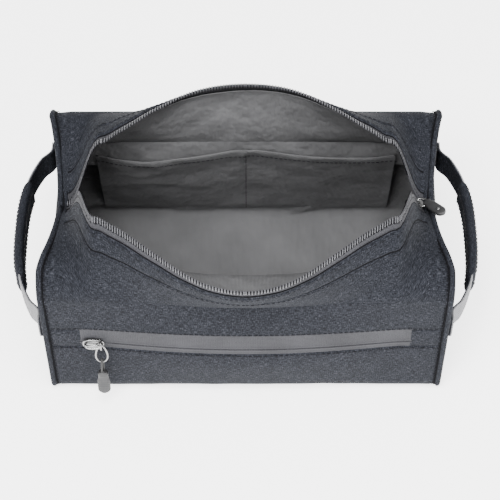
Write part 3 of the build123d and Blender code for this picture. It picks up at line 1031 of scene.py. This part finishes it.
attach(tube("pocket_slider_eye", ring, 0.7 * MM, METAL), "pocket_slider")

LEAN = radians(-12)
hang = moved(eye) @ turned(LEAN, "X") @ turned(pi / 2, "Y")
face_on = hang @ turned(pi / 2, "X")
wire_ring("pocket_pull_ring", [face_on @ p for p in loop_shape(15 * MM, 5.4 * MM, 9.4 * MM)],
          1.3 * MM, "pocket_loop", "pocket_pull_loop")
cord_points = [hang @ Vector((x * MM, y * MM, z * MM)) for x, y, z in
               ((24.6, 1.1, 0.5), (21, 1.3, 0.6), (17.5, 1.6, 0.3), (14.6, 1.55, 0.1),
                (12.9, 0.9, 0), (12.9, -0.9, 0), (14.6, -1.55, -0.1), (17.5, -1.6, -0.3),
                (21, -1.3, -0.6), (24.6, -1.1, -0.5))]
cord = tube("pocket_pull_cord_loop", cord_points, 0.7 * MM, CORD)
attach(cord, "pocket_pull")
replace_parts(cord, "pocket_pull_cord")
collar = rubber_tab("pocket_pull_collar_cap", hang @ moved((23.6 * MM, 0, 0))
                    @ turned(pi / 2, "X"), 4.6 * MM, 6.6 * MM, 4.6 * MM, RUBBER)
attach(collar, "pocket_pull")
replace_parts(collar, "pocket_pull_collar")
end_tab = rubber_tab("pocket_pull_rubber", hang @ moved((26.4 * MM, 0, 0))
                     @ turned(pi / 2, "X"), 17.4 * MM, 8.4 * MM, 3.5 * MM,
                     GREY_RUBBER, ribs=4)
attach(end_tab, "pocket_pull")
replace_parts(end_tab, "pocket_pull_tab")

# ---- side handles ----
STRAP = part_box("handle_strap_right")
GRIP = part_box("handle_grip_right")
out_x = joints["handle_right_swing"]["pos_m"][0]
bow = (GRIP[0][0] + GRIP[1][0]) / 2 - out_x
strap_end = STRAP[1][1]
grip_half = GRIP[1][1]


def route(y):
    """How far out the strap's middle line stands at y."""
    reach = min(abs(y) / (strap_end - 0.004), 1)
    return out_x + bow * (1 - reach ** 2.8) * smooth((1 - reach) / 0.16)


def strap_half(side, name, half, inner):
    """Webbing from the seam to the middle of the grip; inner is its dark heather backing, painted shade on the
    strap's inner face.
    """
    ys = spread(half * strap_end, 0.0, 60)
    zs = spread(STRAP[0][2], STRAP[1][2], 9)
    if (side < 0) != (half < 0):
        ys.reverse()
    offset = -0.1 * MM if inner else 0.8 * MM

    def point(y, z):
        edge = abs(z - (STRAP[0][2] + STRAP[1][2]) / 2) / ((STRAP[1][2] - STRAP[0][2]) / 2)
        x = route(y) + offset - 0.25 * MM * edge ** 6
        return (side * x, y, z)

    # inner layer: dark heather standing for painted shade on the strap's inner face; outer layer: webbing with
    # painted sheen
    kind = "shade_backing" if inner else "webbing"
    piece = cloth(f"handle_{kind}_{name}_{'front' if half < 0 else 'back'}", point, ys, zs,
                  0.8 * MM, HEATHER if inner else SHEEN_WEBBING, lambda y, z: (z, y))
    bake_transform(piece)
    if not inner and half < 0:
        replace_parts(piece, f"handle_strap_{name}")


def grip(side, name):
    """Padded grip: folded heather sleeve, flattened oval, drawn in at both ends."""
    rings, uvs = [], []
    low, high = GRIP[0][2], GRIP[1][2]
    mid_z, half_z, half_x = (low + high) / 2, (high - low) / 2, (GRIP[1][0] - GRIP[0][0]) / 2
    for y in spread(-grip_half, grip_half, 70):
        t = abs(y) / grip_half
        taper = sqrt(max(1 - max(0, (t - 0.9) / 0.1) ** 2 * 0.75, 0.05))
        dent = 1 - 0.10 * exp(-((t - 0.86) / 0.04) ** 2)
        ring = []
        for m in range(36):
            angle = 2 * pi * m / 36
            c, s = cos(angle), sin(angle)
            seam = 1 - 0.14 * exp(-((angle - pi) / 0.12) ** 2)
            soft = 1 + 0.035 * ripple(y, angle * 0.02, side * 2.0, 70)
            x = route(y) + half_x * taper * dent * seam * soft * copysign(abs(c) ** 0.7, c)
            z = mid_z + half_z * (0.75 + 0.25 * taper) * soft * copysign(abs(s) ** 0.55, s)
            ring.append((side * x, y, z))
            uvs.append((y, m * 0.0017 * side))
        rings.append(ring)
    piece = skin_rings(f"handle_grip_{name}_sleeve", rings, HEATHER, uvs)
    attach(piece, f"handle_{name}")
    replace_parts(piece, f"handle_grip_{name}")
    for z_share, label in ((0.62, "top"), (-0.62, "low")):
        for outward, where in ((1, "outer"), (-1, "inner")):
            ys = spread(-grip_half + 4 * MM, grip_half - 4 * MM, 60)
            points = [Vector((side * (route(y) + outward * half_x * 0.97), y,
                              mid_z + half_z * z_share)) for y in ys]
            row = stitches(f"handle_{name}_{where}_{label}_stitches", points,
                           [Vector((side * outward, 0, 0))] * 60, *SEWN)
            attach(row, f"handle_{name}")


for side, name in ((-1, "left"), (1, "right")):
    for half in (-1, 1):
        for inner in (False, True):
            strap_half(side, name, half, inner)
    grip(side, name)


# ---- floor, lights and camera ----
floor_mat = Shader("pale_floor", 0.85, Base_Color=(0.95, 0.95, 0.95, 1),
                   Emission_Color=(1, 1, 1, 1), Emission_Strength=2.6)
floor = add_mesh("floor", [(-6, -6, 0), (6, -6, 0), (6, 6, 0), (-6, 6, 0)], [[0, 1, 2, 3]],
                 floor_mat.mat)


def area_light(name, place, aim, size, power):
    data = bpy.data.lights.new(name, "AREA")
    data.shape = "RECTANGLE"
    data.size, data.size_y = size
    data.energy = power
    lamp = bpy.data.objects.new(name, data)
    bpy.context.collection.objects.link(lamp)
    lamp.location = place
    lamp.rotation_euler = (Vector(aim) - Vector(place)).to_track_quat("-Z", "Y").to_euler()


area_light("key", (-0.5, -0.9, 1.6), (0, 0, 0.08), (0.7, 0.7), 44)
area_light("fill", (1.2, -0.7, 1.1), (0, 0, 0.08), (1.2, 1.0), 16)
area_light("top", (0.0, -0.45, 1.7), (0, 0.02, 0.05), (0.6, 0.5), 30)
world = bpy.data.worlds.new("studio")
world.use_nodes = True
background = world.node_tree.nodes["Background"].inputs
background["Color"].default_value = (1, 1, 1, 1)
background["Strength"].default_value = 0.8
bpy.context.scene.world = world

ELEVATION, DISTANCE = radians(54.5), 1.15
VIEW_WIDTH = 1 / 3                   # metres across the picture at the distance of the aim
SENSOR = 36
aim = Vector((0.0028, -0.004, 0.062))
camera_data = bpy.data.cameras.new("camera")
camera_data.sensor_width = SENSOR
camera_data.lens = SENSOR * DISTANCE / VIEW_WIDTH
camera = bpy.data.objects.new("camera", camera_data)
bpy.context.collection.objects.link(camera)
camera.location = aim + DISTANCE * Vector((0, -cos(ELEVATION), sin(ELEVATION)))
camera.rotation_euler = (pi / 2 - ELEVATION, 0, 0)
bpy.context.scene.camera = camera
